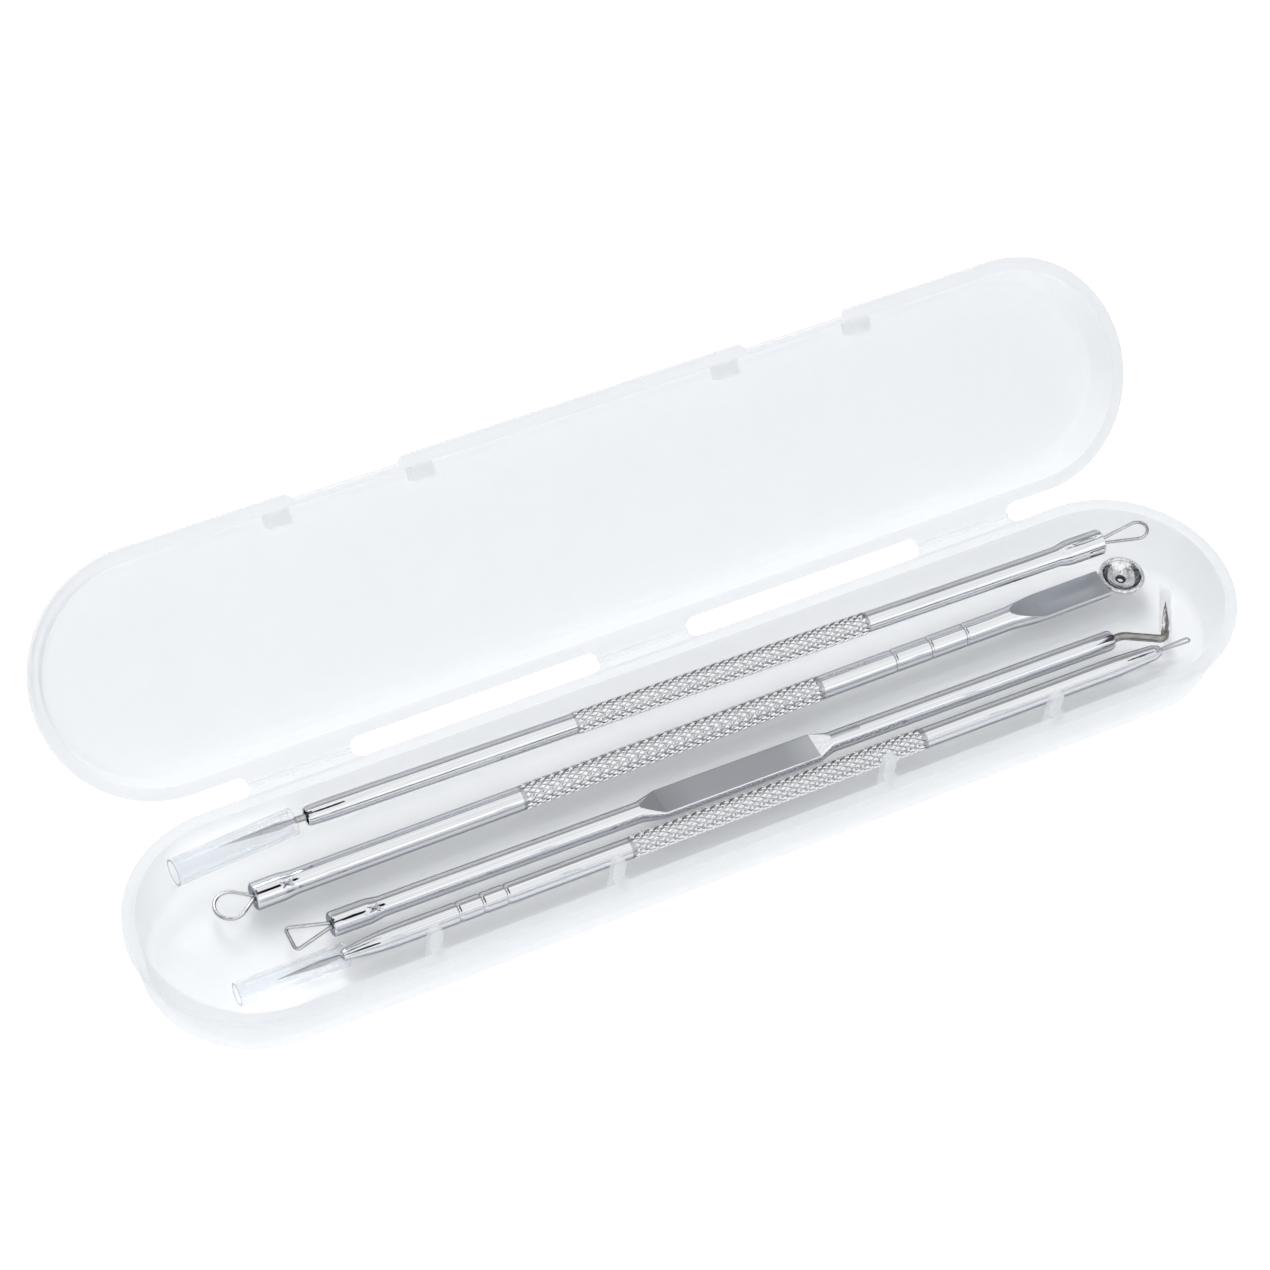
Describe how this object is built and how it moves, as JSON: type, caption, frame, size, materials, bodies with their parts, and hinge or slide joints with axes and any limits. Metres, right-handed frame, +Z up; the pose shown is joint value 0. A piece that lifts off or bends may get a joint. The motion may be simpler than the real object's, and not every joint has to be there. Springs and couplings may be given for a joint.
{
  "type": "blackhead extractor tool set",
  "caption": "Open hinged plastic case of slim double-ended steel skin tools with wire loops, lancets under clear covers and a cup end; the lid folds shut and each tool lifts out.",
  "frame": {"origin": "centre of the flat underside of the lower case half, on the surface that the case lies on", "axes": "X along the case from the clear-cover ends of the tools towards the cup end, Y from the latch side to the hinge and the open lid, Z up"},
  "size_m": [0.144, 0.0551, 0.0309],
  "materials": {
    "case_plastic": "frosted translucent",
    "hinge_plastic": "frosted translucent",
    "shaft_chrome": "polished",
    "blade_steel": "satin",
    "loop_wire": "bright drawn wire",
    "collet_steel": "dull",
    "cover_plastic": "clear"
  },
  "bodies": {
    "tray": {"base_tray": "case_plastic", "hinge_web_left": "hinge_plastic", "hinge_web_centre": "hinge_plastic", "hinge_web_right": "hinge_plastic"},
    "lid": {"lid_shell": "case_plastic"},
    "needle_tool": {"needle_loop_shaft": "shaft_chrome", "straight_lancet": "blade_steel", "lancet_collet": "collet_steel", "long_wire_loop": "loop_wire"},
    "needle_cover": {"lancet_cover": "cover_plastic"},
    "spoon_tool": {"spoon_shaft": "shaft_chrome", "round_wire_loop": "loop_wire"},
    "grip_tool": {"flat_grip_shaft": "shaft_chrome", "triangle_wire_loop": "loop_wire", "bent_lancet": "blade_steel", "bent_lancet_collet": "collet_steel"},
    "grip_sleeve": {"bent_lancet_sleeve": "cover_plastic"},
    "slim_tool": {"slim_shaft": "shaft_chrome", "slim_lancet": "blade_steel", "fine_eye_loop": "loop_wire"},
    "slim_cover": {"slim_lancet_cover": "cover_plastic"}
  },
  "joints": [
    {"name": "lid_hinge", "type": "hinge", "parent": "tray", "child": "lid", "pos_m": [0, 0.0159, 0.00945], "axis": [-1, 0, 0], "range_deg": [-135, 45]},
    {"name": "needle_tool_lift", "type": "slide", "parent": "tray", "child": "needle_tool", "axis": [0, 0, 1], "range_m": [0, 0.05]},
    {"name": "spoon_tool_lift", "type": "slide", "parent": "tray", "child": "spoon_tool", "axis": [0, -0.5, 0.866], "range_m": [0, 0.05]},
    {"name": "grip_tool_lift", "type": "slide", "parent": "tray", "child": "grip_tool", "axis": [0, 0, 1], "range_m": [0, 0.05]},
    {"name": "slim_tool_lift", "type": "slide", "parent": "tray", "child": "slim_tool", "axis": [0, 0, 1], "range_m": [0, 0.05]},
    {"name": "needle_cover_slide", "type": "slide", "parent": "needle_tool", "child": "needle_cover", "axis": [-0.9975, -0.0706, 0], "range_m": [0, 0.0105]},
    {"name": "grip_sleeve_slide", "type": "slide", "parent": "grip_tool", "child": "grip_sleeve", "axis": [0.5449, 0.8385, 0], "range_m": [0, 0.0105]},
    {"name": "slim_cover_slide", "type": "slide", "parent": "slim_tool", "child": "slim_cover", "axis": [-1, 0.0045, 0], "range_m": [0, 0.0105]}
  ],
  "couplings": [
    {"joint": "needle_cover_slide", "follows": "needle_tool_lift", "ratio": 0.2},
    {"joint": "grip_sleeve_slide", "follows": "grip_tool_lift", "ratio": 0.2},
    {"joint": "slim_cover_slide", "follows": "slim_tool_lift", "ratio": 0.2}
  ]
}
